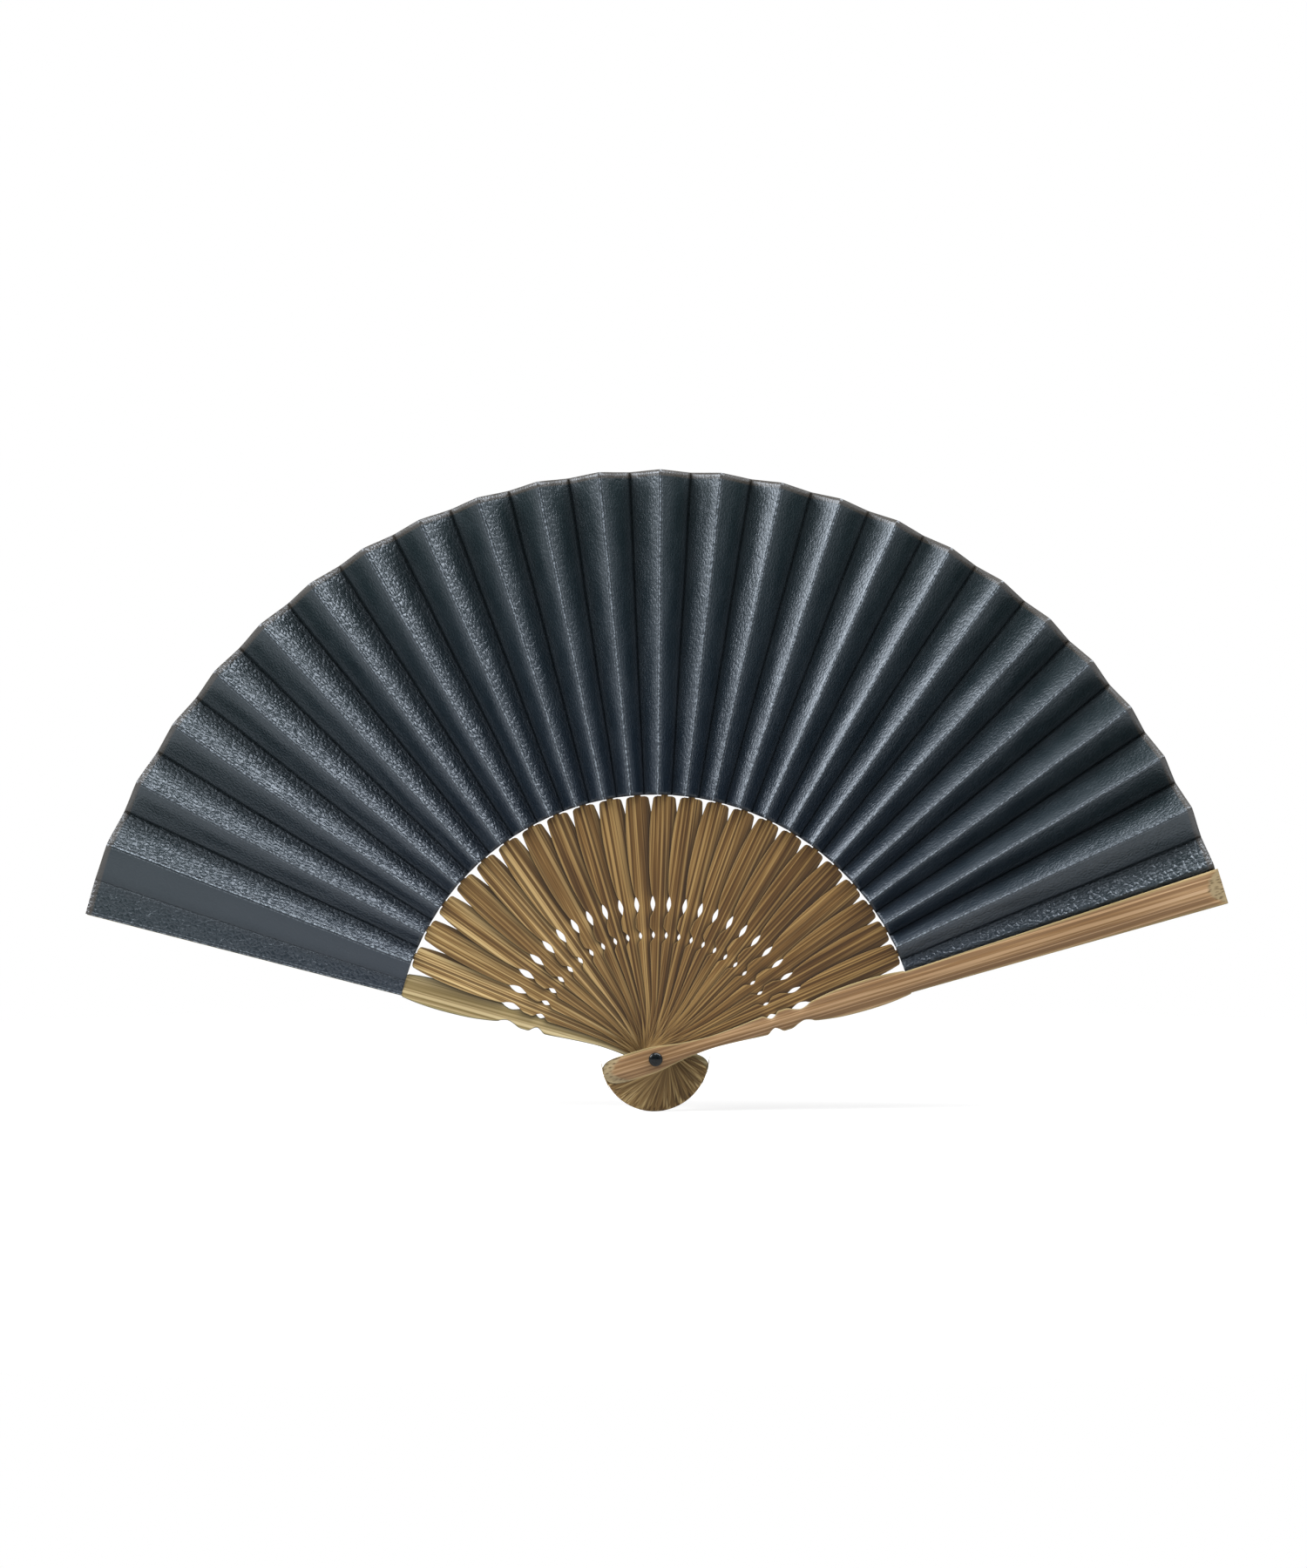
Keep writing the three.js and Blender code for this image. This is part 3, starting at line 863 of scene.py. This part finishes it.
def panel_rise(k):
    return math.sqrt((pleat_angle / 2) ** 2 - panel_spread(k) ** 2)


def panel_level(k):
    return slat_top(k) + slat_half * panel_rise(k) / panel_spread(k) + leaf_thickness / 2 + slat_clearance


def panel_lean(k):
    """Near the rear guard, the leaf is glued a little to the right of each slat's middle."""
    return leaf_lean * clamped((lean_gone - k) / (lean_gone - lean_whole))


def folded_level(k):
    return slat_top(k) + leaf_clearance + layer + leaf_thickness / 2


def guard_half(r):
    return between(blade_root_half, blade_tip_half, (r - handle_length) / (guard_length - handle_length))


def guard_crease(r):
    """The first and the last crease lie on the guards, nearer the edge towards the tip."""
    inner_share, rim_share = 0.42, 1.0
    return guard_half(r) * between(inner_share, rim_share, (r - leaf_inner) / (leaf_rim - leaf_inner))


def wander(seed, r, amount, wave):
    """A smooth small deviation along a crease."""
    return amount * noise.noise(Vector((seed * 7.31, r / wave, 0.5)))


def on_panel(k, angle, r, aside=0.0, raised=0.0):
    """A place on the panel that stick k carries, at an angle from the stick's middle."""
    level = panel_level(k) - r * panel_rise(k) * angle / panel_spread(k)
    return fan_point(k, r * math.sin(angle) + aside, level + raised, r * math.cos(angle))


def valley(k, r):
    """Where the panel on stick k ends."""
    if k == 0:
        return fan_point(0, guard_crease(r), folded_level(0), r)
    return on_panel(k, panel_lean(k) + panel_spread(k), r, aside=wander(k, r, valley_wander, valley_wave))


def ridge(k, r):
    """Where the panel on stick k + 1 starts."""
    if k == rib_count:
        return fan_point(front_number, -guard_crease(r), folded_level(k), r)
    return on_panel(k + 1, panel_lean(k + 1) - panel_spread(k + 1), r,
                    aside=wander(k + 40, r, ridge_wander, ridge_wave),
                    raised=wander(k + 80, r, ridge_lift, lift_wave))


# %% [markdown]
# ## Panels
#
# Each panel is a fine grid between its two creases. It isn't quite flat: it swells a little next to
# the ridge, hollows next to the valley and ripples along its length, as stiff coated cloth does. A
# Solidify modifier gives it its thickness. The panel on a rib turns with the rib, and the free panel
# turns over with its own fold. The last free panel has nowhere to climb
# to, since its crease lies behind the front guard, so it bellies up beside the guard.

# %% Panels of the leaf
panel_columns = 14
panel_rows = 84
swell = 0.18 * MM
taut_swell = 0.05 * MM
taut_from = 13
ripple = 0.2 * MM
ripple_length = 14 * MM
rim_overhang = 1.3 * MM
overhang_gone = 3
valley_from = 0.7
valley_shade = 0.35
guard_shadow = 1.1 * MM
guard_shade = 1.3
belly_height = 1.9 * MM
belly_rise = 1.3 * MM
belly_start = 30 * MM
first_grain = 1.25
worn_grain = 0.34
last_grain = 1.5
grain_whole = 4
grain_worn = 10
glued_seed = 50
strip_seed = 90


def overhang(number):
    """The cloth was cut a little long at its first folds. A ridge's number ends in a half."""
    return rim_overhang * max(1 - number / overhang_gone, 0.0)


def fading(number, whole, gone):
    """1 up to one number of a stick, falling to 0 at another."""
    return clamped((gone - number) / (gone - whole))


def grain_depth(number, glued):
    """The emboss is deepest on the first panels that are glued to ribs, and on the last free one."""
    if number >= front_number - 1:
        return last_grain
    return between(worn_grain, first_grain, fading(number, grain_whole, grain_worn) if glued else 0.0)


def hidden_width(r):
    """How much of the last free panel the front guard covers."""
    return guard_half(r) - guard_crease(r)


def belly(distance, r):
    """How far the last free panel bellies up, at a distance from its crease."""
    seen = distance - hidden_width(r)
    width = (valley(rib_count, r) - ridge(rib_count, r)).length - hidden_width(r)
    if seen < belly_rise:
        climb = clamped(seen / belly_rise)
        share = climb * climb * (3 - 2 * climb)
    else:
        share = max((width - seen) / (width - belly_rise), 0.0)
    return belly_height * share * (r - leaf_inner + belly_start) / (leaf_rim - leaf_inner + belly_start)


def cloth_panel(name, left, right, ridge_on_left, seed, numbers, flat_width, guard_beside=False):
    """A panel between two creases, left(r) and right(r), with its map of distances."""
    pasted_down = numbers[0] == numbers[1]

    def place(u, v):
        r = between(leaf_inner, leaf_rim + overhang(between(*numbers, u)), v)
        start, end = left(r), right(r)
        out = (end - start).cross((left(leaf_rim) - left(leaf_inner)).normalized()).normalized()
        from_ridge = u if ridge_on_left else 1 - u
        scale = (end - start).length / flat_width
        bulge = between(taut_swell, swell, fading(numbers[0], grain_worn, taut_from)) * scale
        bulge *= math.sin(2 * math.pi * from_ridge)
        waves = noise.noise(Vector((seed * 3.7 + 2 * u, r / ripple_length, 0)))
        bulge += ripple * scale * math.sin(math.pi * u) * waves
        if guard_beside:
            bulge += belly(from_ridge * (end - start).length, r)
        return start.lerp(end, u) + out * (0.0 if pasted_down else bulge)

    panel = shaped_grid(panel_columns, panel_rows, place)
    cloth_map = panel.loops.layers.uv.new("cloth")
    from_ridge = panel.verts.layers.float.new("from_ridge")
    shade = panel.verts.layers.float.new("shade")
    depth = panel.verts.layers.float.new("grain_depth")
    for vert in panel.verts:
        r = math.hypot(vert.co.x, vert.co.z)
        crest, trough = (left(r), right(r)) if ridge_on_left else (right(r), left(r))
        vert[from_ridge] = (vert.co - crest).length
        vert[depth] = grain_depth(numbers[0], ridge_on_left)
        valley_share = vert[from_ridge] / (trough - crest).length
        # Painted shade near the valley, and a painted shadow along the front guard's edge.
        vert[shade] = valley_shade * clamped((valley_share - valley_from) / (1 - valley_from))
        if guard_beside:
            seen = vert[from_ridge] - hidden_width(r)
            vert[shade] = max(vert[shade], clamped(guard_shade - seen / guard_shadow))
    for face in panel.faces:
        for loop in face.loops:
            r = math.hypot(loop.vert.co.x, loop.vert.co.z)
            stretch = 1 + overhang(numbers[0]) * (r - leaf_inner) / (leaf_rim - leaf_inner) / leaf_rim
            loop[cloth_map].uv = (loop.vert[from_ridge] + 0.05 * seed, r / stretch)
    piece = make_object(name, panel, leaf_cloth)
    thick = piece.modifiers.new("thickness", "SOLIDIFY")
    thick.thickness = leaf_thickness
    thick.offset = -1
    apply_modifiers(piece)
    return piece


panel_width = pleat_angle * leaf_rim
for k in range(rib_count + 1):
    free = cloth_panel(f"leaf_free_panel_{k:02d}", lambda r: valley(k, r), lambda r: ridge(k, r), False, k,
                       (k, k + 0.5), panel_width, guard_beside=k == rib_count)
    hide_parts(f"pleat_{k:02d}")
    across = [ridge(k, r) - valley(k, r) for r in (leaf_inner, leaf_rim)]
    out = across[1].cross(valley(k, leaf_rim) - valley(k, leaf_inner)).normalized()
    tuple(valley(k, leaf_rim))
    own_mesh(free)
    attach(free, f"pleat_{k:02d}")

for k in range(1, rib_count + 1):
    glued = cloth_panel(f"leaf_glued_panel_{k:02d}", lambda r: ridge(k - 1, r), lambda r: valley(k, r), True,
                        glued_seed + k, (k - 0.5, k), panel_width)
    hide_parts(f"pleat_{k - 1:02d}")
    widths = [(ridge(k - 1, r) - valley(k, r)).length for r in (leaf_inner, leaf_rim)]
    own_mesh(glued)
    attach(glued, rib_name(k))
print("leaf:", 2 * rib_count + 1, "panels of", len(glued.data.polygons), "faces")

# %% [markdown]
# ## The leaf's ends
#
# The first strip of the leaf is glued to the rear guard's inner face, out to its edge, and the last
# one to the front guard's, where the guard hides it. Each runs straight to its crease.

# %% End strips
def end_strip(name, k, side, glued_level, crease_level, body, node):
    def edge(r):
        return fan_point(k, -side * (guard_half(r) - end_inset), glued_level, r)

    def fold(r):
        return fan_point(k, side * guard_crease(r), crease_level, r)

    left, right = (edge, fold) if side > 0 else (fold, edge)
    number = 0 if k == 0 else front_number
    strip = cloth_panel(name, left, right, side > 0, strip_seed + side, (number, number), 2 * panel_width)
    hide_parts(node)
    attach(strip, body)
    widths = [(edge(r) - fold(r)).length for r in (leaf_inner, leaf_rim)]


under_guard = front_level + guard_recess - leaf_clearance - leaf_thickness / 2
on_guard = leaf_clearance + leaf_thickness / 2
end_strip("leaf_rear_strip", 0, 1, on_guard, folded_level(0), "root", "leaf_end_rear")
end_strip("leaf_front_strip", front_number, -1, under_guard, folded_level(rib_count), "front_guard",
          "leaf_end_front")
print("end strips: 2, on the guards' inner faces")

# %% [markdown]
# ## Rivet
#
# The rivet is a pin with a domed cap on each end, in gloss black enamel. A dome is a profile spun
# about the rivet's axis, and only a smooth dome gives the small round highlight of the real one.

# %% Rivet
dust_size = 0.6 * MM


def black_enamel():
    material, tree, output = new_material("black enamel, glossy")
    place = add(tree, "ShaderNodeTexCoord").outputs["Object"]
    dust = add(tree, "ShaderNodeTexNoise", {"Vector": place, "Scale": 1 / dust_size,
                                            "Detail": 3.0}).outputs["Fac"]
    shade = ramp(tree, dust, [(0.4, colour("#05080A")), (0.75, colour("#10181B"))])
    dull = ramp(tree, dust, [(0.4, grey(0.12)), (0.8, grey(0.22))])
    surface = add(tree, "ShaderNodeBsdfPrincipled", {"Base Color": shade, "Roughness": dull})
    surface.inputs["Specular IOR Level"].default_value = 0.22
    tree.links.new(surface.outputs[0], output.inputs["Surface"])
    return material


rivet_enamel = black_enamel()
rivet_reach = middle_level + guard_head_thickness + cap_clearance


def rivet_cap(name, node, side):
    """A spun dome. side is -1 in front and 1 behind."""
    cap = bmesh.new()
    brim = 0.12 * MM
    profile = [(0.0, 0.0), (cap_radius - brim, 0.0)]
    dome_steps = 10
    for i in range(dome_steps + 1):
        rise = math.pi / 2 * i / dome_steps
        profile.append((cap_radius * math.cos(rise), brim + (cap_height - brim) * math.sin(rise)))
    corners = [cap.verts.new((across, side * (rivet_reach + out), 0)) for across, out in profile]
    edges = [cap.edges.new(pair) for pair in zip(corners, corners[1:])]
    bmesh.ops.spin(cap, geom=corners + edges, cent=(0, 0, 0), axis=(0, 1, 0), angle=2 * math.pi, steps=64,
                   use_merge=True)
    bmesh.ops.remove_doubles(cap, verts=cap.verts[:], dist=0.001 * MM)
    bmesh.ops.recalc_face_normals(cap, faces=cap.faces[:])
    dome = make_object(name, cap, rivet_enamel)
    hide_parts(node)
    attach(dome, "root")


rivet_cap("rivet_dome_front", "rivet_cap_front", -1)
rivet_cap("rivet_dome_rear", "rivet_cap_rear", 1)
pin_materials = frame["nodes"]["rivet_pin"].data.materials
pin_materials.clear()
pin_materials.append(rivet_enamel)
print("rivet: a pin and two caps, which reach", round(rivet_reach + cap_height, 5), "m from the middle")
